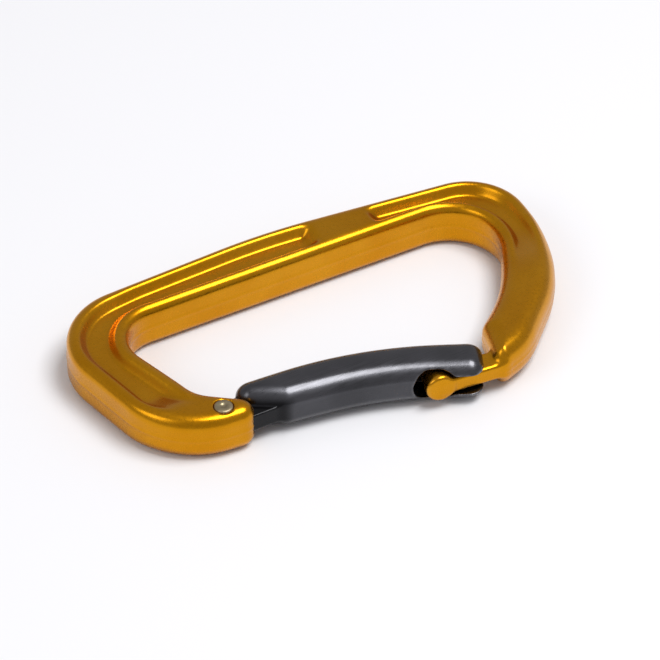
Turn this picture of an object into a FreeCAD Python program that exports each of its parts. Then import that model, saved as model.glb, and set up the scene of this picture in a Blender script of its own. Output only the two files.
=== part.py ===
"""Bent-gate keylock carabiner of a climbing quickdraw, in millimetres.

The carabiner lies flat on z = 0: +X runs towards the nose end, +Y towards the
spine and +Z through the thickness. The sheet "Dims" drives every size.
"""
import FreeCAD, Part
import math
import os
import Sketcher

V = FreeCAD.Vector
doc = FreeCAD.newDocument("carabiner")

# ---------------------------------------------------------------- dimensions
SIZES = {
    # whole body, and the section of its arms
    "body_thick": 10.0,
    "edge_round": 2.0,
    "flange_width": 2.6,
    "wide_flange": 3.2,
    "channel_depth": 2.3,
    # hinge: one rivet through two ears, with the gate's tang between them
    "rivet_x": -30.7,
    "rivet_y": -13.6,
    "rivet_radius": 1.2,
    "head_radius": 1.9,
    "head_depth": 0.8,
    "head_sink": 0.1,
    "head_chamfer": 0.25,
    "hinge_running": 0.05,
    "slot_height": 4.1,
    "slot_swing_radius": 2.85,
    "slot_floor_x": -36.2,
    "slot_corner": 1.0,
    "slot_low_y": -13.6,
    "slot_high_y": -9.0,
    # gate, a bent bar whose middle bows towards the spine
    "gate_thick": 9.2,
    "gate_width": 9.8,
    "gate_bend_radius": 75.0,
    "gate_bend_x": -19.9,
    "gate_bend_y": -87.5,
    "gate_corner": 3.1,
    "gate_round": 2.9,
    "shoulder_high_x": -23.0,
    "shoulder_low_x": -17.4,
    "shoulder_high_y": -10.4,
    "shoulder_low_y": -13.9,
    "tip_high_x": 18.3,
    "tip_high_y": -20.6,
    "tip_low_x": 16.8,
    "tip_low_y": -23.9,
    "tang_height": 3.8,
    "tang_radius": 2.6,
    "tang_corner": 1.6,
    "tang_corner_x": -32.7,
    "tang_corner_y": -11.0,
    "tang_root": 1.0,
    "tang_root_x": -17.0,
    "tang_root_high_y": -11.0,
    "tang_root_low_y": -15.0,
    # plunger and return spring, in a blind bore beside the rivet
    "bore_radius": 0.95,
    "bore_y": -11.2,
    "bore_mouth_x": -35.5,
    "bore_end_x": -19.5,
    "plunger_radius": 0.9,
    "plunger_length": 5.0,
    "plunger_gap": 0.04,
    "plunger_dome": 0.85,
    "spindle_radius": 0.4,
    "spindle_length": 2.4,
    "coil_radius": 0.66,
    "wire_radius": 0.16,
    "coil_pitch": 0.9,
    # keylock nose: a round key on a thin neck, and the pocket it sits in;
    # their own axes run away from the rivet (x) and across the nose (y)
    "key_x": 11.06,
    "key_y": -21.6,
    "key_angle": -11.0,
    "key_radius": 3.0,
    "key_back_radius": 2.5,
    "key_length": 6.6,
    "neck_height": 3.6,
    "pocket_gap": 0.45,
    "pocket_lead": 1.6,
    "pocket_start": 6.0,
    "pocket_floor": 3.9,
    "slot_gap": 0.45,
    "slot_round": 0.4,
    "slot_end": 12.0,
    # shift that brings the middle of the whole to the origin
    "shift_x": -0.1,
    "shift_y": -0.675,
}

# Outline circles of the C-shaped body, as (name, x, y, radius, side): the
# outline follows each circle and runs straight from one to the next. Side -1
# is a circle inside the metal, +1 a circle inside the eye.
BODY_CIRCLES = [
    ("ear_tip", -27.9, -14.5, 3.0, -1),
    ("hinge_bend", -29.8, -0.2, 17.2, -1),
    ("back_end", -34.2, 11.8, 15.2, -1),
    ("spine_back", -4.0, -101.7, 130.0, -1),
    ("nose_end", 37.2, 12.2, 12.4, -1),
    ("basket_arm", 17.0, 8.2, 32.6, -1),
    ("nose_bend", 21.3, -8.6, 17.6, -1),
    ("arm_toe", 24.6, -23.8, 2.2, -1),
    ("arm_heel", 27.3, -17.0, 3.2, -1),
    ("basket_eye", 1.2, 18.8, 41.0, 1),
    ("eye_nose", 30.6, 7.8, 10.0, 1),
    ("eye_back", -29.6, 9.7, 8.1, 1),
    ("ear_heel", -26.9, -2.6, 7.2, 1),
]

# Outline circles of what is cut into the body, and of its neck in the nose's
# own axes, as (name, x, y, radius, side).
CUT_CIRCLES = [
    ("back_fade", -39.3, -8.5, 1.5, -1),
    ("back_pad_top", 7.4, 24.2, 1.3, -1),
    ("back_pad_foot", 7.4, 21.8, 1.3, -1),
    ("nose_pad_top", 22.3, 23.0, 1.3, -1),
    ("nose_fade", 42.0, -1.5, 1.6, -1),
    ("nose_pad_foot", 22.3, 21.8, 1.3, -1),
    ("slot_far_high", -18.0, -9.0, 1.0, -1),
    ("slot_far_low", -18.0, -15.45, 1.0, -1),
    ("key_inner", 0.5, 1.4, 1.0, -1),
    ("arm_inner", 13.6, 1.8, 1.0, -1),
    ("arm_outer", 13.0, -0.8, 1.1, -1),
    ("key_outer", 0.5, -2.2, 1.1, -1),
]
CIRCLES = BODY_CIRCLES + CUT_CIRCLES

# ---------------------------------------------------------------- the sheet
sheet = doc.addObject("Spreadsheet::Sheet", "Dims")
sizes = dict(SIZES)
for name, x, y, radius, side in CIRCLES:
    sizes[name + "_x"] = x
    sizes[name + "_y"] = y
    sizes[name + "_radius"] = radius
for row, (name, value) in enumerate(sizes.items(), start=1):
    sheet.set(f"A{row}", name)
    sheet.set(f"B{row}", str(value))
    sheet.setAlias(f"B{row}", name)
doc.recompute()


# ---------------------------------------------------------------- helpers
def new_body(label):
    body = doc.addObject("PartDesign::Body", label)
    body.Label = label
    return body


def origin_plane(body, role):
    return [p for p in body.Origin.OriginFeatures if p.Role == role][0]


def new_sketch(body, name, role="XY_Plane", height=None):
    """A sketch on one of the body's own origin planes, lifted by a formula."""
    sketch = body.newObject("Sketcher::SketchObject", name)
    sketch.AttachmentSupport = [(origin_plane(body, role), "")]
    sketch.MapMode = "FlatFace"
    if height is not None:
        sketch.setExpression("AttachmentOffset.Base.z", height)
    return sketch


def bind(sketch, index, name, formula):
    sketch.renameConstraint(index, name)
    sketch.setExpression("Constraints." + name, formula)


def tangent_line(first, second):
    """Ends of the straight run from one outline circle to the next."""
    (x1, y1, r1, s1), (x2, y2, r2, s2) = first, second
    turn = s2 * r2 - s1 * r1
    gap = math.hypot(x2 - x1, y2 - y1)
    run = math.sqrt(gap * gap - turn * turn)
    angle = math.atan2(y2 - y1, x2 - x1) - math.atan2(turn, run)
    left = V(-math.sin(angle), math.cos(angle), 0)
    return V(x1, y1, 0) - left * (s1 * r1), V(x2, y2, 0) - left * (s2 * r2)


def add_outline(sketch, circles):
    """Draw a closed outline round circles and bind it.

    Each circle is (name, (x, x_formula), (y, y_formula), (r, r_formula), side).
    """
    plain = [(x[0], y[0], r[0], side) for _, x, y, r, side in circles]
    count = len(plain)
    runs = [tangent_line(plain[i], plain[(i + 1) % count]) for i in range(count)]
    arcs = []
    lines = []
    for i, (x, y, radius, side) in enumerate(plain):
        centre = V(x, y, 0)
        arrive = runs[i - 1][1] - centre
        leave = runs[i][0] - centre
        first, last = (arrive, leave) if side > 0 else (leave, arrive)
        start = math.atan2(first.y, first.x)
        end = math.atan2(last.y, last.x)
        full = Part.Circle(centre, V(0, 0, 1), radius)
        arcs.append(sketch.addGeometry(Part.ArcOfCircle(full, start, end)))
    for start, end in runs:
        lines.append(sketch.addGeometry(Part.LineSegment(start, end)))
    for i, (name, x, y, radius, side) in enumerate(circles):
        after = (i + 1) % count
        leave_end = 2 if side > 0 else 1
        arrive_end = 1 if circles[after][4] > 0 else 2
        sketch.addConstraint(Sketcher.Constraint("Tangent", arcs[i], leave_end, lines[i], 1))
        sketch.addConstraint(Sketcher.Constraint("Tangent", lines[i], 2, arcs[after], arrive_end))
        index = sketch.addConstraint(Sketcher.Constraint("DistanceX", -1, 1, arcs[i], 3, x[0]))
        bind(sketch, index, name + "_cx", x[1])
        index = sketch.addConstraint(Sketcher.Constraint("DistanceY", -1, 1, arcs[i], 3, y[0]))
        bind(sketch, index, name + "_cy", y[1])
        index = sketch.addConstraint(Sketcher.Constraint("Radius", arcs[i], radius[0]))
        bind(sketch, index, name + "_r", radius[1])
    return arcs, lines


def cell(name, grow=0.0, formula=""):
    """A sheet value, with an optional change written as number and formula."""
    return sizes[name] + grow, "Dims." + name + formula


def circle(name, shrink=None):
    """One of the sheet's outline circles, moved into the metal by a size."""
    side = [entry[4] for entry in CIRCLES if entry[0] == name][0]
    grow = 0.0
    formula = ""
    if shrink:
        grow = side * sizes[shrink]
        formula = (" + " if side > 0 else " - ") + "Dims." + shrink
    return (
        name,
        cell(name + "_x"),
        cell(name + "_y"),
        cell(name + "_radius", grow, formula),
        side,
    )


def add_circle(sketch, name, x, y, radius):
    centre = V(x[0], y[0], 0)
    ring = sketch.addGeometry(Part.Circle(centre, V(0, 0, 1), radius[0]))
    index = sketch.addConstraint(Sketcher.Constraint("DistanceX", -1, 1, ring, 3, x[0]))
    bind(sketch, index, name + "_cx", x[1])
    index = sketch.addConstraint(Sketcher.Constraint("DistanceY", -1, 1, ring, 3, y[0]))
    bind(sketch, index, name + "_cy", y[1])
    index = sketch.addConstraint(Sketcher.Constraint("Radius", ring, radius[0]))
    bind(sketch, index, name + "_r", radius[1])


def pad(body, sketch, name, length):
    feature = body.newObject("PartDesign::Pad", name)
    feature.Profile = sketch
    feature.setExpression("Length", length)
    doc.recompute()
    return feature


def pocket(body, sketch, name, length, reverse=False):
    """A pocket that must remove metal."""
    before = body.Shape.Volume
    feature = body.newObject("PartDesign::Pocket", name)
    feature.Profile = sketch
    feature.Reversed = reverse
    feature.setExpression("Length", length)
    doc.recompute()
    if body.Shape.Volume > before - 1e-3:
        raise RuntimeError(name + " removes nothing")
    return feature


def fillet_faces(body, name, base, faces, radius):
    feature = body.newObject("PartDesign::Fillet", name)
    feature.Base = (base, faces)
    feature.setExpression("Radius", radius)
    doc.recompute()
    return feature


def flat_faces(shape, heights):
    """Names of the level faces at the given heights."""
    found = []
    for number, face in enumerate(shape.Faces, start=1):
        box = face.BoundBox
        if box.ZLength < 1e-6 and any(abs(box.ZMin - z) < 1e-6 for z in heights):
            found.append(f"Face{number}")
    return found


MID = "Dims.body_thick / 2"
mid_height = sizes["body_thick"] / 2

# ---------------------------------------------------------------- body
body = new_body("body")
ring = new_sketch(body, "ring_profile")
add_outline(ring, [circle(entry[0]) for entry in BODY_CIRCLES])
ring_pad = pad(body, ring, "ring_pad", "Dims.body_thick")
rounded = fillet_faces(
    body, "ring_edges", ring_pad,
    flat_faces(ring_pad.Shape, [0.0, sizes["body_thick"]]), "Dims.edge_round",
)

# channels of the I-section, on both faces, either side of the blank pad
BACK_CHANNEL = [
    circle("back_fade"),
    circle("hinge_bend", "wide_flange"),
    circle("back_end", "wide_flange"),
    circle("spine_back", "flange_width"),
    circle("back_pad_top"),
    circle("back_pad_foot"),
    circle("eye_back", "flange_width"),
]
NOSE_CHANNEL = [
    circle("nose_pad_top"),
    circle("nose_end", "flange_width"),
    circle("nose_fade"),
    circle("eye_nose", "flange_width"),
    circle("nose_pad_foot"),
]
for channel, circles in (("back_channel", BACK_CHANNEL), ("nose_channel", NOSE_CHANNEL)):
    upper = new_sketch(body, channel + "_top", height="Dims.body_thick")
    add_outline(upper, circles)
    pocket(body, upper, channel + "_top_cut", "Dims.channel_depth")
    lower = new_sketch(body, channel + "_under")
    add_outline(lower, circles)
    pocket(body, lower, channel + "_under_cut", "Dims.channel_depth", reverse=True)

# slot between the two ears, closed on the outer side and behind the gate's tang
slot = new_sketch(body, "ear_slot", height=MID + " - Dims.slot_height / 2")
add_outline(slot, [
    ("low_corner", cell("slot_floor_x", sizes["slot_corner"], " + Dims.slot_corner"),
     cell("slot_low_y"), cell("slot_corner"), -1),
    ("high_corner", cell("slot_floor_x", sizes["slot_corner"], " + Dims.slot_corner"),
     cell("slot_high_y"), cell("slot_corner"), -1),
    circle("slot_far_high"),
    circle("slot_far_low"),
    ("swing", cell("rivet_x"), cell("rivet_y"), cell("slot_swing_radius"), -1),
])
pocket(body, slot, "ear_slot_cut", "Dims.slot_height", reverse=True)

# rivet hole through both ears, with a shallow seat for each head
RIVET_X = cell("rivet_x")
RIVET_Y = cell("rivet_y")
hole = new_sketch(body, "rivet_hole", height="Dims.body_thick")
add_circle(hole, "hole", RIVET_X, RIVET_Y, cell("rivet_radius"))
pocket(body, hole, "rivet_hole_cut", "Dims.body_thick")
seat = new_sketch(body, "top_seat", height="Dims.body_thick")
add_circle(seat, "seat", RIVET_X, RIVET_Y, cell("head_radius"))
pocket(body, seat, "top_seat_cut", "Dims.head_depth + Dims.head_sink")
seat = new_sketch(body, "under_seat")
add_circle(seat, "seat", RIVET_X, RIVET_Y, cell("head_radius"))
pocket(body, seat, "under_seat_cut", "Dims.head_depth + Dims.head_sink", reverse=True)


def nose_sketch(owner, name, height):
    """A level sketch in the nose's own axes, with its origin in the key."""
    sketch = new_sketch(owner, name, height=height)
    sketch.setExpression("AttachmentOffset.Base.x", "Dims.key_x")
    sketch.setExpression("AttachmentOffset.Base.y", "Dims.key_y")
    sketch.setExpression("AttachmentOffset.Rotation.Angle", "Dims.key_angle")
    doc.recompute()
    return sketch


# neck from the arm's end to the key
neck = nose_sketch(body, "neck_outline", MID + " - Dims.neck_height / 2")
add_outline(neck, [circle(name) for name in ("key_inner", "arm_inner", "arm_outer", "key_outer")])
pad(body, neck, "neck_pad", "Dims.neck_height")

# round key of the keylock nose, narrower at the back so that it swings clear
key = nose_sketch(body, "key_profile", MID)
half_key = sizes["key_length"] / 2
corners = [
    V(0, -half_key, 0),
    V(sizes["key_radius"], -half_key, 0),
    V(sizes["key_back_radius"], half_key, 0),
    V(0, half_key, 0),
]
for i in range(4):
    key.addGeometry(Part.LineSegment(corners[i], corners[(i + 1) % 4]))
for i in range(4):
    key.addConstraint(Sketcher.Constraint("Coincident", i, 2, (i + 1) % 4, 1))
key.addConstraint(Sketcher.Constraint("PointOnObject", 0, 1, -2))
key.addConstraint(Sketcher.Constraint("PointOnObject", 2, 2, -2))
key.addConstraint(Sketcher.Constraint("Horizontal", 0))
key.addConstraint(Sketcher.Constraint("Horizontal", 2))
index = key.addConstraint(Sketcher.Constraint("DistanceX", 0, 1, 0, 2, sizes["key_radius"]))
bind(key, index, "front_radius", "Dims.key_radius")
index = key.addConstraint(Sketcher.Constraint("DistanceX", 2, 2, 2, 1, sizes["key_back_radius"]))
bind(key, index, "back_radius", "Dims.key_back_radius")
index = key.addConstraint(Sketcher.Constraint("DistanceY", 0, 1, 2, 2, sizes["key_length"]))
bind(key, index, "length", "Dims.key_length")
index = key.addConstraint(Sketcher.Constraint("DistanceY", 0, 1, -1, 1, half_key))
bind(key, index, "front", "Dims.key_length / 2")
turned = body.newObject("PartDesign::Revolution", "key_turned")
turned.Profile = key
turned.ReferenceAxis = (key, ["V_Axis"])
turned.Angle = 360
doc.recompute()

# ---------------------------------------------------------------- gate
gate = new_body("gate")
HALF = sizes["gate_width"] / 2
outline = new_sketch(gate, "gate_outline", height=MID + " - Dims.gate_thick / 2")
add_outline(outline, [
    ("shoulder_high", cell("shoulder_high_x"), cell("shoulder_high_y"), cell("gate_corner"), -1),
    ("bend_inner", cell("gate_bend_x"), cell("gate_bend_y"),
     cell("gate_bend_radius", HALF, " + Dims.gate_width / 2"), -1),
    ("tip_high", cell("tip_high_x"), cell("tip_high_y"), cell("gate_corner"), -1),
    ("tip_low", cell("tip_low_x"), cell("tip_low_y"), cell("gate_corner"), -1),
    ("bend_outer", cell("gate_bend_x"), cell("gate_bend_y"),
     cell("gate_bend_radius", -HALF, " - Dims.gate_width / 2"), 1),
    ("shoulder_low", cell("shoulder_low_x"), cell("shoulder_low_y"), cell("gate_corner"), -1),
])
bar = pad(gate, outline, "gate_bar", "Dims.gate_thick")
half_gate = sizes["gate_thick"] / 2
fillet_faces(
    gate, "gate_edges", bar,
    flat_faces(bar.Shape, [mid_height - half_gate, mid_height + half_gate]), "Dims.gate_round",
)

# tang that stands between the ears
tang = new_sketch(gate, "tang_outline", height=MID + " - Dims.tang_height / 2")
add_outline(tang, [
    ("eye", RIVET_X, RIVET_Y, cell("tang_radius"), -1),
    ("corner", cell("tang_corner_x"), cell("tang_corner_y"), cell("tang_corner"), -1),
    ("root_high", cell("tang_root_x"), cell("tang_root_high_y"), cell("tang_root"), -1),
    ("root_low", cell("tang_root_x"), cell("tang_root_low_y"), cell("tang_root"), -1),
])
pad(gate, tang, "tang_pad", "Dims.tang_height")
pivot = new_sketch(gate, "pivot_hole", height="Dims.body_thick")
add_circle(pivot, "pivot", RIVET_X, RIVET_Y,
           cell("rivet_radius", sizes["hinge_running"], " + Dims.hinge_running"))
pocket(gate, pivot, "pivot_hole_cut", "Dims.body_thick")

# blind bore for the plunger and its spring
bore = new_sketch(gate, "plunger_bore", "YZ_Plane", "Dims.bore_end_x")
add_circle(bore, "bore", cell("bore_y"), (mid_height, MID), cell("bore_radius"))
pocket(gate, bore, "plunger_bore_cut", "Dims.bore_end_x - Dims.bore_mouth_x")

# key pocket and neck slot, both open towards the outer side of the gate


def pocket_sketch(name):
    """A sketch across the gate's outer side, facing away from the spine."""
    sketch = new_sketch(gate, name, "XZ_Plane")
    angle = math.radians(sizes["key_angle"])
    across = sizes["pocket_start"]
    sketch.AttachmentOffset = FreeCAD.Placement(
        V(sizes["key_x"] + across * math.sin(angle), mid_height,
          across * math.cos(angle) - sizes["key_y"]),
        FreeCAD.Rotation(V(0, 1, 0), sizes["key_angle"]),
    )
    doc.recompute()
    return sketch


POCKET_DEPTH = "Dims.pocket_start + Dims.pocket_floor"
pocket_radius = cell("key_radius", sizes["pocket_gap"], " + Dims.pocket_gap")
key_pocket = pocket_sketch("key_pocket")
add_outline(key_pocket, [
    ("lead", (-sizes["pocket_lead"], "-Dims.pocket_lead"), (0.0, "0"), pocket_radius, -1),
    ("seat", (0.0, "0"), (0.0, "0"), pocket_radius, -1),
])
pocket(gate, key_pocket, "key_pocket_cut", POCKET_DEPTH)
neck_slot = pocket_sketch("neck_slot")
RISE = "Dims.neck_height / 2 + Dims.slot_gap - Dims.slot_round"
rise = sizes["neck_height"] / 2 + sizes["slot_gap"] - sizes["slot_round"]
add_outline(neck_slot, [
    ("start_high", (0.0, "0"), (rise, RISE), cell("slot_round"), -1),
    ("end_high", cell("slot_end"), (rise, RISE), cell("slot_round"), -1),
    ("end_low", cell("slot_end"), (-rise, f"-({RISE})"), cell("slot_round"), -1),
    ("start_low", (0.0, "0"), (-rise, f"-({RISE})"), cell("slot_round"), -1),
])
pocket(gate, neck_slot, "neck_slot_cut", POCKET_DEPTH)

# ---------------------------------------------------------------- rivet
rivet = new_body("hinge_rivet")
shank = new_sketch(rivet, "shank", height="Dims.head_sink")
add_circle(shank, "shank", RIVET_X, RIVET_Y, cell("rivet_radius"))
pad(rivet, shank, "shank_pad", "Dims.body_thick - 2 * Dims.head_sink")
for name, height in (
    ("under_head", "Dims.head_sink"),
    ("top_head", "Dims.body_thick - Dims.head_sink - Dims.head_depth"),
):
    head = new_sketch(rivet, name, height=height)
    add_circle(head, "head", RIVET_X, RIVET_Y, cell("head_radius"))
    head_pad = pad(rivet, head, name + "_pad", "Dims.head_depth")
rims = [sizes["head_sink"], sizes["body_thick"] - sizes["head_sink"]]
chamfer = rivet.newObject("PartDesign::Chamfer", "head_rims")
chamfer.Base = (head_pad, flat_faces(head_pad.Shape, rims))
chamfer.setExpression("Size", "Dims.head_chamfer")
doc.recompute()

# ---------------------------------------------------------------- plunger
plunger = new_body("plunger")
tip_x = sizes["slot_floor_x"] + sizes["plunger_gap"]
TIP = "Dims.slot_floor_x + Dims.plunger_gap"
pin = new_sketch(plunger, "pin_end", "YZ_Plane", TIP)
add_circle(pin, "pin", cell("bore_y"), (mid_height, MID), cell("plunger_radius"))
pin_pad = pad(plunger, pin, "pin_pad", "Dims.plunger_length")
dome = plunger.newObject("PartDesign::Fillet", "pin_dome")
tip_face = [
    f"Face{n}" for n, face in enumerate(pin_pad.Shape.Faces, start=1)
    if abs(face.BoundBox.XMax - tip_x) < 1e-6
]
dome.Base = (pin_pad, tip_face)
dome.setExpression("Radius", "Dims.plunger_dome")
doc.recompute()
spindle = new_sketch(plunger, "spindle_end", "YZ_Plane", TIP + " + Dims.plunger_length")
add_circle(spindle, "spindle", cell("bore_y"), (mid_height, MID), cell("spindle_radius"))
pad(plunger, spindle, "spindle_pad", "Dims.spindle_length")

# ---------------------------------------------------------------- return spring
# coil from the plunger's shoulder to the end of the bore, laid along +X
coil_start = tip_x + sizes["plunger_length"] + sizes["wire_radius"]
coil_length = sizes["bore_end_x"] - sizes["wire_radius"] - coil_start
helix = doc.addObject("Part::Helix", "coil_line")
helix.setExpression("Pitch", "Dims.coil_pitch")
helix.setExpression("Radius", "Dims.coil_radius")
helix.setExpression(
    "Height",
    "Dims.bore_end_x - Dims.slot_floor_x - Dims.plunger_gap"
    " - Dims.plunger_length - 2 * Dims.wire_radius",
)
wire = doc.addObject("Part::Circle", "wire_section")
wire.setExpression("Radius", "Dims.wire_radius")
wire.setExpression("Placement.Base.x", "Dims.coil_radius")
wire.Placement.Rotation = FreeCAD.Rotation(V(1, 0, 0), 90)
doc.recompute()
spring = doc.addObject("Part::Sweep", "return_spring")
spring.Label = "return_spring"
spring.Sections = [wire]
spring.Spine = (helix, ["Edge1"])
spring.Solid = True
spring.Frenet = True
spring.Placement = FreeCAD.Placement(
    V(coil_start, sizes["bore_y"], mid_height), FreeCAD.Rotation(V(0, 1, 0), 90)
)
doc.recompute()

# ---------------------------------------------------------------- output
SHIFT = V(sizes["shift_x"], sizes["shift_y"], 0)
subparts = [body, gate, rivet, plunger, spring]
for part in subparts:
    placement = part.Placement
    placement.Base = placement.Base + SHIFT
    part.Placement = placement
doc.recompute()
for item in doc.Objects:
    if "Invalid" in item.State or "Error" in item.State:
        raise RuntimeError(f"{item.Name} failed: {item.State}")
for item in doc.findObjects("Sketcher::SketchObject"):
    if not item.FullyConstrained:
        raise RuntimeError(item.Name + " is not fully constrained")
os.makedirs("parts", exist_ok=True)
for part in subparts:
    shape = part.Shape
    if shape.isNull() or not shape.isValid():
        raise RuntimeError(part.Label + " has no valid shape")
    box = shape.BoundBox
    print(part.Label, "solids", len(shape.Solids), "volume", round(shape.Volume, 2), box)
    shape.exportStep(f"parts/{part.Label}.step")
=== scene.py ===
"""Visual model of the bent-gate keylock carabiner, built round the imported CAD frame.

The body and the gate are meshed from smooth distance fields, so that flanges,
channels and the nose run into each other as they do on a forging. Fields are in
millimetres and negative inside the metal; meshes are in metres.
"""
import math
import bpy
import numpy as np
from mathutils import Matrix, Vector


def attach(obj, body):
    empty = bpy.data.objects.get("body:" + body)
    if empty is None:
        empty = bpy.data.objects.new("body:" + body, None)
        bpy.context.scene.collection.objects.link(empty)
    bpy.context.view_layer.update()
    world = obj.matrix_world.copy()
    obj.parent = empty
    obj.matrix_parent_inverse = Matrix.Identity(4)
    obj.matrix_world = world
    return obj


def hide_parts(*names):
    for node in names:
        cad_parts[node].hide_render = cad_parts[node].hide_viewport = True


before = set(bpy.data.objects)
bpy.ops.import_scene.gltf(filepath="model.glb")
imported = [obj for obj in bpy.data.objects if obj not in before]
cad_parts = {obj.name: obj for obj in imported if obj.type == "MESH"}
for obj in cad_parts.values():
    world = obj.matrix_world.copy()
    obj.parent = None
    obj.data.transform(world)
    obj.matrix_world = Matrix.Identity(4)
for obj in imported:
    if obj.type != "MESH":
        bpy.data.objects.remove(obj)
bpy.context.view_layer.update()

MM = 0.001
MID_Z = 5.0                       # level of the plane of symmetry
SHIFT_X, SHIFT_Y = -0.1, -0.675   # from the outlines' own origin to the frame's
FAR = 1e3                         # further than any point is from an outline
SLACK = 1e-3                      # overlap between the arcs and runs of an outline
TINY = 1e-6
INNER, OUTER = -1, 1              # side of a circle: metal within it, or outside it


def to_local(x, y, z):
    """Frame coordinates to the outlines' own, with the mid-plane at z = 0."""
    return x - SHIFT_X, y - SHIFT_Y, z - MID_Z


# ---------------------------------------------------------------- field tools
def step(low, high, value):
    """0 below low, 1 above high, and a smooth rise between them."""
    t = np.clip((value - low) / (high - low), 0.0, 1.0)
    return t * t * (3.0 - 2.0 * t)


def smooth_max(a, b, k):
    """The larger of two fields, rounded where they meet over a width k."""
    h = np.clip(k - np.abs(a - b), 0.0, None) / k
    return np.maximum(a, b) + h * h * k * 0.25


def smooth_min(a, b, k):
    return -smooth_max(-a, -b, k)


def chain_runs(circles):
    """Straight runs between the circles of an outline, as (start, end, left)."""
    runs = []
    for i, (x1, y1, r1, s1) in enumerate(circles):
        x2, y2, r2, s2 = circles[(i + 1) % len(circles)]
        turn = s2 * r2 - s1 * r1
        gap = math.hypot(x2 - x1, y2 - y1)
        run = math.sqrt(gap * gap - turn * turn)
        angle = math.atan2(y2 - y1, x2 - x1) - math.atan2(turn, run)
        left = (-math.sin(angle), math.cos(angle))
        start = (x1 - left[0] * s1 * r1, y1 - left[1] * s1 * r1)
        end = (x2 - left[0] * s2 * r2, y2 - left[1] * s2 * r2)
        runs.append((start, end, left))
    return runs


def chain_field(circles, x, y):
    """Signed distance to the outline that follows (x, y, radius, side) circles."""
    runs = chain_runs(circles)
    best = np.full(np.broadcast(x, y).shape, FAR)

    def keep(distance, valid):
        nearer = valid & (np.abs(distance) < np.abs(best))
        best[nearer] = distance[nearer]

    for i, (cx, cy, radius, side) in enumerate(circles):
        arrive, leave = runs[i - 1][1], runs[i][0]
        first = math.atan2(arrive[1] - cy, arrive[0] - cx)
        last = math.atan2(leave[1] - cy, leave[0] - cx)
        sweep = (last - first) * side % (2 * math.pi)
        angle = np.arctan2(y - cy, x - cx)
        along = (angle - first) * side % (2 * math.pi)
        distance = (np.hypot(x - cx, y - cy) - radius) * -side
        keep(distance, (along <= sweep + SLACK) | (along >= 2 * math.pi - SLACK))
    for start, end, left in runs:
        dx, dy = end[0] - start[0], end[1] - start[1]
        length = math.hypot(dx, dy)
        if length < TINY:
            continue
        along = ((x - start[0]) * dx + (y - start[1]) * dy) / length
        distance = (x - start[0]) * left[0] + (y - start[1]) * left[1]
        keep(distance, (along >= -SLACK) & (along <= length + SLACK))
    return best


def plate_field(flat, z, half, radius):
    """A plate of half-thickness half round the level z = 0, with rounded edges."""
    across = flat + radius
    up = np.abs(z) - (half - radius)
    outside = np.hypot(np.clip(across, 0.0, None), np.clip(up, 0.0, None))
    return outside + np.minimum(np.maximum(across, up), 0.0) - radius


def gradient(field, points, eps):
    """Slope of a field at each point, from differences over eps each way."""
    x, y, z = points.T
    columns = []
    for dx, dy, dz in ((eps, 0, 0), (0, eps, 0), (0, 0, eps)):
        ahead = field(x + dx, y + dy, z + dz)
        behind = field(x - dx, y - dy, z - dz)
        columns.append((ahead - behind) / (2 * eps))
    return np.stack(columns, axis=1)


PROBE = 0.02        # mm, to find the way to the surface
WIDE_PROBE = 0.1    # mm, to find the outward direction


def project(field, points, reach):
    """Move points onto the field's surface, each by no more than reach."""
    slope = gradient(field, points, PROBE)
    value = field(*points.T)
    steepness = np.clip((slope ** 2).sum(axis=1), 1e-3, None)
    move = -slope * (value / steepness)[:, None]
    size = np.linalg.norm(move, axis=1, keepdims=True)
    return points + move * np.minimum(1.0, reach / np.clip(size, 1e-9, None))


def surface_net(field, low, high, pitch):
    """Vertices and quads of the surface where the field is zero."""
    axes = [np.arange(a, b + pitch, pitch) for a, b in zip(low, high)]
    values = field(*np.ix_(*axes))
    inside = values < 0
    shape = tuple(n - 1 for n in values.shape)
    corners = [(i, j, k) for i in (0, 1) for j in (0, 1) for k in (0, 1)]

    def corner(array, c):
        return array[c[0]:c[0] + shape[0], c[1]:c[1] + shape[1], c[2]:c[2] + shape[2]]

    count = sum(corner(inside, c).astype(np.int8) for c in corners)
    cells = np.argwhere((count > 0) & (count < 8))
    number = np.full(shape, -1, dtype=np.int64)
    number[tuple(cells.T)] = np.arange(len(cells))
    total = np.zeros((len(cells), 3))
    hits = np.zeros(len(cells))
    for a in corners:
        for axis in range(3):
            if a[axis]:
                continue
            b = tuple(v + (n == axis) for n, v in enumerate(a))
            va = values[tuple((cells + a).T)]
            vb = values[tuple((cells + b).T)]
            cross = (va < 0) != (vb < 0)
            share = np.where(cross, va / np.where(cross, va - vb, 1.0), 0.0)
            place = np.array(a, float)[None, :] + share[:, None] * np.eye(3)[axis]
            total += place * cross[:, None]
            hits += cross
    points = (cells + total / hits[:, None]) * pitch + np.array(low)
    quads = []
    for axis in range(3):
        u, v = (axis + 1) % 3, (axis + 2) % 3
        head = [slice(None)] * 3
        tail = [slice(None)] * 3
        head[axis], tail[axis] = slice(1, None), slice(None, -1)
        cross = inside[tuple(head)] != inside[tuple(tail)]
        edges = np.argwhere(cross)
        edges = edges[(edges[:, u] > 0) & (edges[:, v] > 0)]
        ring = []
        for du, dv in ((1, 1), (0, 1), (0, 0), (1, 0)):
            cell = edges.copy()
            cell[:, u] -= du
            cell[:, v] -= dv
            ring.append(number[tuple(cell.T)])
        quad = np.stack(ring, axis=1)
        outward = inside[tuple(edges.T)]
        quad[~outward] = quad[~outward][:, ::-1]
        quads.append(quad)
    return points, np.concatenate(quads)


def relax(points, quads):
    """Each point at the middle of its neighbours."""
    ends = np.concatenate([quads[:, [i, (i + 1) % 4]] for i in range(4)])
    ends = np.concatenate([ends, ends[:, ::-1]])
    total = np.zeros_like(points)
    for axis in range(3):
        total[:, axis] = np.bincount(ends[:, 0], points[ends[:, 1], axis], len(points))
    return total / np.bincount(ends[:, 0], minlength=len(points))[:, None]


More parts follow.
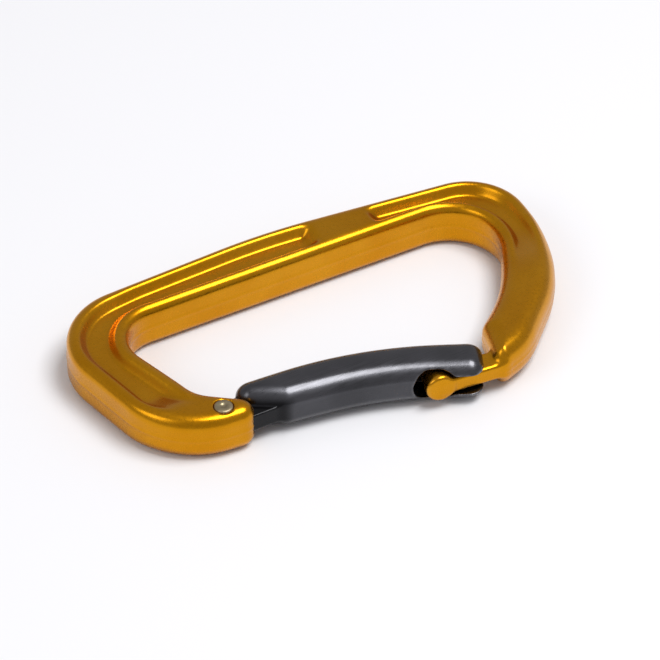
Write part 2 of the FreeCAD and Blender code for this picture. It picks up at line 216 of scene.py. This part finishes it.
EVENING_ROUNDS = 3       # each brings the points to the surface and spaces them out
CLOSING_ROUNDS = 2       # each only brings them to the surface
BEND_ROUNDS = 9          # smoothing of the surface's curvature
EDGE_BEND = (0.40, 1.3)  # curvature, per mm, from which an edge counts, and counts fully
HOLLOW_BEND = (0.15, 0.9)


def curvature(field, points, quads, pitch):
    """Smoothed bend of the surface at each point, positive on convex edges."""
    outward = gradient(field, points, WIDE_PROBE)
    outward /= np.clip(np.linalg.norm(outward, axis=1, keepdims=True), TINY, None)
    bend = (points - relax(points, quads)) * outward * 4 / pitch ** 2
    bend = np.repeat(bend.sum(axis=1, keepdims=True), 3, axis=1)
    for _ in range(BEND_ROUNDS):
        bend = relax(bend, quads)
    return bend[:, 0]


def mesh_piece(name, points, faces):
    """A smooth-shaded object from points in metres."""
    mesh = bpy.data.meshes.new(name)
    mesh.from_pydata(points, [], faces)
    mesh.validate()
    mesh.polygons.foreach_set("use_smooth", [True] * len(mesh.polygons))
    piece = bpy.data.objects.new(name, mesh)
    bpy.context.scene.collection.objects.link(piece)
    return piece


def field_piece(name, field, recess_shade, low, high, pitch, body, node):
    """A mesh piece on a field's surface.

    Its attributes mark convex edges, hollows, and recesses; the materials paint shade into the
    hollows and recesses.
    """
    points, quads = surface_net(field, low, high, pitch)
    for _ in range(EVENING_ROUNDS):
        points = project(field, points, pitch)
        points = 0.5 * points + 0.5 * relax(points, quads)
    for _ in range(CLOSING_ROUNDS):
        points = project(field, points, pitch)
    bend = curvature(field, points, quads, pitch)
    piece = mesh_piece(name, points * MM, quads.tolist())
    marks = {
        "edge": step(*EDGE_BEND, bend),
        "hollow": step(*HOLLOW_BEND, -bend),
        "recess_shade": recess_shade(*points.T),
    }
    for mark, values in marks.items():
        layer = piece.data.attributes.new(mark, "FLOAT", "POINT")
        layer.data.foreach_set("value", values.astype(np.float32))
    piece.data.update()
    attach(piece, body)
    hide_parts(node)
    return piece


# ---------------------------------------------------------------- forged body
# outlines are circles as (x, y, radius, side), in order round the metal
BODY = {
    "ear_tip": (-27.9, -14.5, 3.0, INNER),
    "hinge_bend": (-29.8, -0.2, 17.2, INNER),
    "back_end": (-34.2, 11.8, 15.2, INNER),
    "spine_back": (-4.0, -101.7, 130.0, INNER),
    "nose_end": (37.2, 12.2, 12.4, INNER),
    "basket_arm": (17.0, 8.2, 32.6, INNER),
    "nose_bend": (21.3, -8.6, 17.6, INNER),
    "arm_toe": (24.6, -23.8, 2.2, INNER),
    "arm_heel": (27.3, -17.0, 3.2, INNER),
    "basket_eye": (1.2, 18.8, 41.0, OUTER),
    "eye_nose": (30.6, 7.8, 10.0, OUTER),
    "eye_back": (-29.6, 9.7, 8.1, OUTER),
    "ear_heel": (-26.9, -2.6, 7.2, OUTER),
}
EAR_SLOT = [
    (-35.2, -13.6, 1.0, INNER), (-35.2, -9.0, 1.0, INNER), (-18.0, -9.0, 1.0, INNER),
    (-18.0, -15.45, 1.0, INNER), (-30.7, -13.6, 2.85, INNER),
]
RIVET = (-30.7, -13.6)
HEAD_RADIUS = 1.9
KEY = (11.06, -21.6)
KEY_TURN = math.radians(-11.0)
NECK = [
    (0.5, 1.4, 1.0, INNER), (13.6, 1.8, 1.0, INNER), (13.0, -0.8, 1.1, INNER),
    (0.5, -2.2, 1.1, INNER),
]
BODY_HALF = 5.0
SLOT_HALF = 2.05
PIVOT_RADIUS = 1.25
SEAT_LEVEL = 4.1         # floor of a rivet head's seat, from the mid-plane
SEAT_GAP = 0.08
CHANNEL_DEPTH = 2.2
CHANNEL_BLEND = 0.8      # rounding of the channel's rims and floor
WALL = (1.5, 3.7)        # the channel's wall, from the outline inwards
WIDE_FLANGE = 0.6        # added to the flange round the hinge end
WIDE_X = (-38.0, -28.0)
SPINE_Y = (12.0, 17.0)
PAD_START_X, PAD_END_X = (6.6, 9.6), (20.0, 23.0)
NOSE_FADE_X, NOSE_FADE_Y = (18.0, 24.0), (-8.0, 7.0)
EAR_X = (-24.0, -20.0)
EAR_FADE_Y, EAR_ROUND_Y = (-11.0, -3.0), (-12.0, -2.0)
ARM_X, ARM_Y = (16.0, 26.0), (-2.0, 12.0)
ROUNDING, ARM_ROUNDING, EAR_ROUNDING = 2.2, 1.7, 0.7
SEAM_HEIGHT, SEAM_WIDTH = 0.1, 0.32
KEY_FRONT, KEY_TAPER, KEY_HALF = 2.75, 0.25, 3.3
NECK_HALF, NOSE_ROUNDING = 1.8, 0.8


def nose_axes(x, y):
    """Coordinates along the nose, away from the hinge, and across it."""
    dx, dy = x - KEY[0], y - KEY[1]
    along = dx * math.cos(KEY_TURN) + dy * math.sin(KEY_TURN)
    across = -dx * math.sin(KEY_TURN) + dy * math.cos(KEY_TURN)
    return along, across


def channel_depth(flat, x, y):
    """Depth of the I-section's channels below the faces."""
    spine = step(*SPINE_Y, y)
    pad = spine * step(*PAD_START_X, x) * (1.0 - step(*PAD_END_X, x))
    nose_fade = 1.0 - step(*NOSE_FADE_X, x) * (1.0 - step(*NOSE_FADE_Y, y))
    hinge_fade = 1.0 - (1.0 - step(*EAR_X, x)) * (1.0 - step(*EAR_FADE_Y, y))
    wide = WIDE_FLANGE * (1.0 - step(*WIDE_X, x))
    inner = step(WALL[0] + wide, WALL[1] + wide, -flat)
    return CHANNEL_DEPTH * inner * (1.0 - pad) * nose_fade * hinge_fade


def ear_slot(x, y, z):
    return np.maximum(chain_field(EAR_SLOT, x, y), np.abs(z) - SLOT_HALF)


def rivet_distance(x, y):
    return np.hypot(x - RIVET[0], y - RIVET[1])


def body_field(x, y, z):
    x, y, z = to_local(x, y, z)
    flat = chain_field(list(BODY.values()), x, y)
    arm = step(*ARM_X, x) * (1.0 - step(*ARM_Y, y))
    ear = (1.0 - step(*EAR_X, x)) * (1.0 - step(*EAR_ROUND_Y, y))
    rounding = ROUNDING + ARM_ROUNDING * arm + EAR_ROUNDING * ear
    seam = SEAM_HEIGHT * (1.0 - np.exp(-(z / SEAM_WIDTH) ** 2))
    field = plate_field(flat + seam, z, BODY_HALF, rounding)
    top = BODY_HALF - channel_depth(flat, x, y)
    field = smooth_max(field, np.abs(z) - top, CHANNEL_BLEND)
    field = smooth_max(field, -ear_slot(x, y, z), 0.25)
    from_rivet = rivet_distance(x, y)
    seat = np.maximum(from_rivet - HEAD_RADIUS - SEAT_GAP, SEAT_LEVEL - np.abs(z))
    field = smooth_max(field, -seat, 0.25)
    field = np.maximum(field, PIVOT_RADIUS - from_rivet)
    along, across = nose_axes(x, y)
    neck = plate_field(chain_field(NECK, along, across), z, NECK_HALF, NOSE_ROUNDING)
    field = smooth_min(field, neck, 1.2)
    front = KEY_FRONT - KEY_TAPER * across / KEY_HALF
    key = plate_field(np.hypot(along, z) - front, across, KEY_HALF, NOSE_ROUNDING)
    return smooth_min(field, key, 0.6)


def body_recess_shade(x, y, z):
    """How far inside the ear slot a point lies, from 0 to 1, as the share of painted shade there.
    """
    x, y, z = to_local(x, y, z)
    return 1.0 - step(-0.1, 0.25, ear_slot(x, y, z))


body = field_piece(
    "forged_body", body_field, body_recess_shade,
    low=(-49.9, -28.2, -0.5), high=(49.9, 28.2, 10.5), pitch=0.34,
    body="frame", node="body",
)

# ---------------------------------------------------------------- bent gate
BEND_CENTRE = (-19.9, -87.5)
BEND_RADIUS = 75.0
GATE_HALF_WIDTH = 4.9
GATE_HALF = 4.6
GATE_ROUNDING = 3.2
CROWN = 0.035            # fall of the crown, per mm squared from the gate's centre line
TANG_HALF, TANG_ROUNDING = 1.9, 0.3
GATE = [
    (-23.0, -10.4, 3.1, INNER), (*BEND_CENTRE, BEND_RADIUS + GATE_HALF_WIDTH, INNER),
    (18.3, -20.6, 3.1, INNER), (16.8, -23.9, 3.1, INNER),
    (*BEND_CENTRE, BEND_RADIUS - GATE_HALF_WIDTH, OUTER), (-17.4, -13.9, 3.1, INNER),
]
TANG = [
    (-30.7, -13.6, 2.6, INNER), (-32.7, -11.0, 1.6, INNER), (-17.0, -11.0, 1.0, INNER),
    (-17.0, -15.0, 1.0, INNER),
]
BORE_Y, BORE_RADIUS = -11.2, 0.95
BORE_END, BORE_MOUTH = -19.5, -35.5
POCKET_RADIUS, POCKET_LEAD, POCKET_FLOOR = 3.45, 1.6, 3.9
NECK_SLOT_HALF = 2.25
GAP_CENTRE = (-23.5, -16.5)   # centre of the painted shadow in the gap between the ear's tip and the gate's shoulder


def gate_field(x, y, z):
    x, y, z = to_local(x, y, z)
    flat = chain_field(GATE, x, y)
    aside = np.hypot(x - BEND_CENTRE[0], y - BEND_CENTRE[1]) - BEND_RADIUS
    half = GATE_HALF - CROWN * np.clip(aside, -GATE_HALF_WIDTH, GATE_HALF_WIDTH) ** 2
    field = plate_field(flat, z * GATE_HALF / half, GATE_HALF, GATE_ROUNDING)
    tang = plate_field(chain_field(TANG, x, y), z, TANG_HALF, TANG_ROUNDING)
    field = smooth_min(field, tang, 0.5)
    field = np.maximum(field, PIVOT_RADIUS - rivet_distance(x, y))
    bore_ends = np.maximum(x - BORE_END, BORE_MOUTH - x)
    bore = np.maximum(np.hypot(y - BORE_Y, z) - BORE_RADIUS, bore_ends)
    field = smooth_max(field, -bore, 0.15)
    along, across = nose_axes(x, y)
    lead = np.hypot(np.clip(along + POCKET_LEAD, None, 0.0), z)
    radius = np.where(along < 0, lead, np.hypot(along, z))
    pocket = np.maximum(radius - POCKET_RADIUS, across - POCKET_FLOOR)
    field = smooth_max(field, -pocket, 0.45)
    slot = np.maximum(np.abs(z) - NECK_SLOT_HALF, np.maximum(across - POCKET_FLOOR, -along))
    return smooth_max(field, -slot, 0.35)


def gate_recess_shade(x, y, z):
    """How far onto the tang, into the key pocket or into the gap by the ear, from 0 to 1, as the
    share of painted shade there.
    """
    x, y, z = to_local(x, y, z)
    tang = 1.0 - step(0.0, 0.5, np.abs(z) - 1.95)
    tang = tang * step(-0.3, 0.5, chain_field(GATE, x, y))
    along, across = nose_axes(x, y)
    open_side = step(-4.2, -2.6, across)
    pocket = (1.0 - step(3.3, 3.9, np.hypot(along, z))) * open_side
    slot = (1.0 - step(2.1, 2.5, np.abs(z))) * step(0.0, 0.8, along) * open_side
    inside = np.maximum(pocket, slot) * (1.0 - step(POCKET_FLOOR, 4.2, across))
    # painted shadow in the gap between the ear's tip and the gate's shoulder
    gap = 1.0 - step(4.0, 7.5, np.hypot(x - GAP_CENTRE[0], y - GAP_CENTRE[1]))
    gap = gap * (1.0 - step(2.2, 3.6, np.abs(z)))
    return np.maximum(np.maximum(tang, inside), gap)


gate = field_piece(
    "bent_gate", gate_field, gate_recess_shade,
    low=(-34.9, -27.9, 0.1), high=(21.8, -7.2, 9.9), pitch=0.22,
    body="gate", node="gate",
)


# ---------------------------------------------------------------- hinge rivet
TURNS = 72    # faces round a turned piece


def lathe(name, profile, centre):
    """A turned piece round the vertical line through centre.

    Its profile is (radius, height) from the bottom to the top, on the axis at both ends.
    """
    rings = [(r, h) for r, h in profile if r > 0]
    points = [(0, 0, profile[0][1])]
    for r, h in rings:
        for n in range(TURNS):
            angle = 2 * math.pi * n / TURNS
            points.append((r * math.cos(angle), r * math.sin(angle), h))
    points.append((0, 0, profile[-1][1]))
    faces = []
    for n in range(TURNS):
        after = (n + 1) % TURNS
        faces.append((0, 1 + after, 1 + n))
        for k in range(len(rings) - 1):
            a, b = 1 + k * TURNS, 1 + (k + 1) * TURNS
            faces.append((a + n, a + after, b + after, b + n))
        last = 1 + (len(rings) - 1) * TURNS
        faces.append((last + n, last + after, len(points) - 1))
    spots = [((x + centre[0]) * MM, (y + centre[1]) * MM, h * MM) for x, y, h in points]
    return mesh_piece(name, spots, faces)


# upper head as (radius, height): a dimple, the rounded rim, and in to the shank
HEAD = [
    (0.0, 9.66), (0.3, 9.67), (0.5, 9.72), (0.62, 9.82), (0.75, 9.87), (1.1, 9.89),
    (1.45, 9.87), (1.65, 9.82), (1.8, 9.7), (1.87, 9.55), (1.89, 9.2), (1.84, 9.12),
    (1.2, 9.1),
]
rivet_profile = [(r, 2 * MID_Z - h) for r, h in HEAD] + HEAD[::-1]
rivet_centre = (RIVET[0] + SHIFT_X, RIVET[1] + SHIFT_Y)
rivet = lathe("pressed_rivet", rivet_profile, rivet_centre)
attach(rivet, "frame")
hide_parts("hinge_rivet")


# ---------------------------------------------------------------- materials
class Finish:
    """A node material with shorthand for the few node kinds used here."""

    def __init__(self, name, metallic, coat=0.0, coat_roughness=0.1):
        self.material = bpy.data.materials.new(name)
        self.material.use_nodes = True
        self.nodes = self.material.node_tree.nodes
        self.links = self.material.node_tree.links
        self.shader = self.nodes["Principled BSDF"]
        self.shader.inputs["Metallic"].default_value = metallic
        self.shader.inputs["Coat Weight"].default_value = coat
        self.shader.inputs["Coat Roughness"].default_value = coat_roughness
        self.place = self.nodes.new("ShaderNodeTexCoord").outputs["Object"]

    def scaled(self, scale, offset=(0, 0, 0)):
        """Object coordinates, scaled and then moved by offset."""
        node = self.nodes.new("ShaderNodeMapping")
        node.inputs["Scale"].default_value = scale
        node.inputs["Location"].default_value = offset
        self.links.new(self.place, node.inputs["Vector"])
        return node.outputs["Vector"]

    def noise(self, scale, detail, vector=None):
        node = self.nodes.new("ShaderNodeTexNoise")
        node.inputs["Scale"].default_value = scale
        node.inputs["Detail"].default_value = detail
        node.inputs["Roughness"].default_value = 0.55
        self.links.new(vector or self.place, node.inputs["Vector"])
        return node.outputs["Fac"]

    def attribute(self, name):
        """A mark that field_piece left on the mesh."""
        node = self.nodes.new("ShaderNodeAttribute")
        node.attribute_name = name
        return node.outputs["Fac"]

    def spread(self, source, low, high, to_low=0.0, to_high=1.0):
        """Values from low to high, brought to the range to_low to to_high."""
        node = self.nodes.new("ShaderNodeMapRange")
        node.inputs["From Min"].default_value = low
        node.inputs["From Max"].default_value = high
        node.inputs["To Min"].default_value = to_low
        node.inputs["To Max"].default_value = to_high
        self.links.new(source, node.inputs["Value"])
        return node.outputs["Result"]

    def math(self, kind, a, b):
        """The result of a math node on a varying value a and a value or number b."""
        node = self.nodes.new("ShaderNodeMath")
        node.operation = kind
        self.links.new(a, node.inputs[0])
        if isinstance(b, float):
            node.inputs[1].default_value = b
        else:
            self.links.new(b, node.inputs[1])
        return node.outputs["Value"]

    def blend(self, share, first, second):
        """The first colour where share is 0, and the second where it is 1."""
        node = self.nodes.new("ShaderNodeMix")
        node.data_type = "RGBA"
        self.links.new(share, node.inputs["Factor"])
        for socket, value in ((node.inputs[6], first), (node.inputs[7], second)):
            if isinstance(value, tuple):
                socket.default_value = (*value, 1.0)
            else:
                self.links.new(value, socket)
        return node.outputs[2]

    def bump(self, height, strength, distance, normal=None):
        node = self.nodes.new("ShaderNodeBump")
        node.inputs["Strength"].default_value = strength
        node.inputs["Distance"].default_value = distance
        self.links.new(height, node.inputs["Height"])
        if normal is not None:
            self.links.new(normal, node.inputs["Normal"])
        return node.outputs["Normal"]

    def set(self, socket, source):
        self.links.new(source, self.shader.inputs[socket])


GOLD = ((0.57, 0.235, 0.003), (0.63, 0.28, 0.008))
# GOLD_HOLLOW_SHADE and GOLD_SHADE are painted shade, GOLD_RUBBED is edge wear
GOLD_HOLLOW_SHADE, GOLD_RUBBED, GOLD_SHADE = (0.36, 0.11, 0.003), (0.80, 0.56, 0.24), (0.05, 0.03, 0.01)
GREY = ((0.068, 0.068, 0.075), (0.095, 0.095, 0.105))
# GREY_SHADE is painted shade, GREY_RUBBED is edge wear
GREY_RUBBED, GREY_SHADE = (0.42, 0.42, 0.44), (0.004, 0.004, 0.005)
RIVET_STEEL = ((0.42, 0.35, 0.22), (0.26, 0.21, 0.13))
PIN_STEEL = ((0.58, 0.58, 0.60), (0.44, 0.44, 0.46))
COIL_STEEL = ((0.48, 0.48, 0.50), (0.30, 0.30, 0.32))


def gold_anodised():
    """Gold dye on blasted aluminium, with painted shade in the hollows and inside the ear slot,
    and rubbed paler on edges.
    """
    f = Finish("anodised_gold", 1.0, coat=0.05, coat_roughness=0.2)
    cloud = f.noise(70.0, 3.0)
    grain = f.noise(1600.0, 3.0)
    colour = f.blend(f.spread(cloud, 0.35, 0.65), *GOLD)
    # painted shade: a darker, deeper gold in the hollows
    colour = f.blend(f.math("MULTIPLY", f.attribute("hollow"), 0.55), colour, GOLD_HOLLOW_SHADE)
    rub = f.spread(f.noise(420.0, 5.0), 0.42, 0.72)
    wear = f.math("MULTIPLY", f.math("MULTIPLY", f.attribute("edge"), rub), 0.30)
    colour = f.blend(wear, colour, GOLD_RUBBED)
    # painted shade inside the ear slot, where the tang sits
    colour = f.blend(f.math("MULTIPLY", f.attribute("recess_shade"), 0.75), colour, GOLD_SHADE)
    f.set("Base Color", colour)
    rough = f.spread(grain, 0.3, 0.7, 0.25, 0.34)
    rough = f.math("SUBTRACT", rough, f.math("MULTIPLY", f.attribute("edge"), 0.06))
    f.set("Roughness", rough)
    fine = f.bump(f.noise(2600.0, 2.0), 0.12, 0.00006)
    f.set("Normal", f.bump(f.noise(260.0, 2.0), 0.10, 0.0003, fine))
    return f.material


def grey_anodised():
    """Dark grey dye on metal drawn along X, with painted shade on the tang, in the key pocket and
    in the gap by the ear, and rubbed paler on edges.
    """
    f = Finish("anodised_grey", 1.0, coat=0.3, coat_roughness=0.08)
    cloud = f.noise(90.0, 3.0)
    colour = f.blend(f.spread(cloud, 0.35, 0.65), *GREY)
    rub = f.spread(f.noise(600.0, 5.0), 0.45, 0.7)
    wear = f.math("MULTIPLY", f.math("MULTIPLY", f.attribute("edge"), rub), 0.35)
    colour = f.blend(wear, colour, GREY_RUBBED)
    # painted shade on the tang, in the key pocket and in the gap by the ear
    colour = f.blend(f.math("MULTIPLY", f.attribute("recess_shade"), 0.95), colour, GREY_SHADE)
    f.set("Base Color", colour)
    drawn = f.noise(1.0, 3.0, f.scaled((160.0, 2600.0, 2600.0)))
    f.set("Roughness", f.spread(drawn, 0.3, 0.7, 0.25, 0.37))
    f.set("Normal", f.bump(drawn, 0.08, 0.00008))
    return f.material


def turned_steel(name, colours, centre, roughness):
    """Steel with the fine rings of a turned or pressed face, round a vertical line."""
    f = Finish(name, 1.0)
    wave = f.nodes.new("ShaderNodeTexWave")
    wave.wave_type = "RINGS"
    wave.rings_direction = "Z"
    wave.inputs["Scale"].default_value = 1500.0
    wave.inputs["Distortion"].default_value = 1.5
    wave.inputs["Detail"].default_value = 2.0
    place = f.scaled((1, 1, 1), offset=(-centre[0] * MM, -centre[1] * MM, 0))
    f.links.new(place, wave.inputs["Vector"])
    stain = f.noise(700.0, 4.0)
    f.set("Base Color", f.blend(f.spread(stain, 0.35, 0.7), *colours))
    f.set("Roughness", f.spread(stain, 0.3, 0.7, roughness, roughness + 0.14))
    f.set("Normal", f.bump(wave.outputs["Fac"], 0.10, 0.00004))
    return f.material


gold = gold_anodised()
grey = grey_anodised()
rivet_steel = turned_steel("pressed_steel", RIVET_STEEL, rivet_centre, 0.34)
pin_steel = turned_steel("ground_steel", PIN_STEEL, (0, 0), 0.18)
coil_steel = turned_steel("spring_wire", COIL_STEEL, (0, 0), 0.26)
body.data.materials.append(gold)
gate.data.materials.append(grey)
rivet.data.materials.append(rivet_steel)
for node, material in (("plunger", pin_steel), ("return_spring", coil_steel)):
    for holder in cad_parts[node].material_slots:
        holder.material = material

# ---------------------------------------------------------------- floor, light, camera
FLOOR_HALF = 3.0
FLOOR_COLOUR = (0.86, 0.86, 0.88, 1.0)
SKY_COLOUR, SKY_STRENGTH = (0.98, 0.97, 1.0, 1.0), 0.44
# softboxes as (place, size, power), each turned to the origin
SOFTBOXES = {
    "overhead": ((0.22, -0.20, 0.79), (0.46, 0.40), 5.4),
    "left_fill": ((-0.85, -0.10, 0.70), (0.5, 0.5), 1.7),
}
AZIMUTH = math.radians(-28.8)
ELEVATION = math.radians(41.0)
DISTANCE = 1.3
LENS = 368.0

corners = [(-1, -1), (1, -1), (1, 1), (-1, 1)]
floor_mesh = bpy.data.meshes.new("floor")
floor_mesh.from_pydata(
    [(x * FLOOR_HALF, y * FLOOR_HALF, 0.0) for x, y in corners], [], [(0, 1, 2, 3)],
)
floor = bpy.data.objects.new("floor", floor_mesh)
bpy.context.scene.collection.objects.link(floor)
paper = bpy.data.materials.new("pale_paper")
paper.use_nodes = True
paper_shader = paper.node_tree.nodes["Principled BSDF"]
paper_shader.inputs["Base Color"].default_value = FLOOR_COLOUR
paper_shader.inputs["Roughness"].default_value = 0.65
floor_mesh.materials.append(paper)

world = bpy.data.worlds.new("studio")
bpy.context.scene.world = world
world.use_nodes = True
sky = world.node_tree.nodes["Background"]
sky.inputs["Color"].default_value = SKY_COLOUR
sky.inputs["Strength"].default_value = SKY_STRENGTH

for name, (place, size, power) in SOFTBOXES.items():
    light = bpy.data.lights.new(name, "AREA")
    light.shape = "RECTANGLE"
    light.size, light.size_y = size
    light.energy = power
    lamp = bpy.data.objects.new(name, light)
    lamp.location = place
    lamp.rotation_mode = "QUATERNION"
    lamp.rotation_quaternion = (-Vector(place)).to_track_quat("-Z", "Y")
    bpy.context.scene.collection.objects.link(lamp)

# from the object to the camera
back = Vector((
    math.sin(AZIMUTH) * math.cos(ELEVATION),
    -math.cos(AZIMUTH) * math.cos(ELEVATION),
    math.sin(ELEVATION),
))
lens = bpy.data.cameras.new("camera")
lens.sensor_width = 36.0
lens.lens = LENS
lens.clip_start = 0.05
lens.clip_end = 20.0
camera = bpy.data.objects.new("camera", lens)
camera.location = Vector((0.0, 0.0, MID_Z * MM)) + back * DISTANCE
camera.rotation_mode = "QUATERNION"
camera.rotation_quaternion = (-back).to_track_quat("-Z", "Y")
bpy.context.scene.collection.objects.link(camera)
bpy.context.scene.camera = camera
bpy.context.scene.view_settings.view_transform = "Standard"
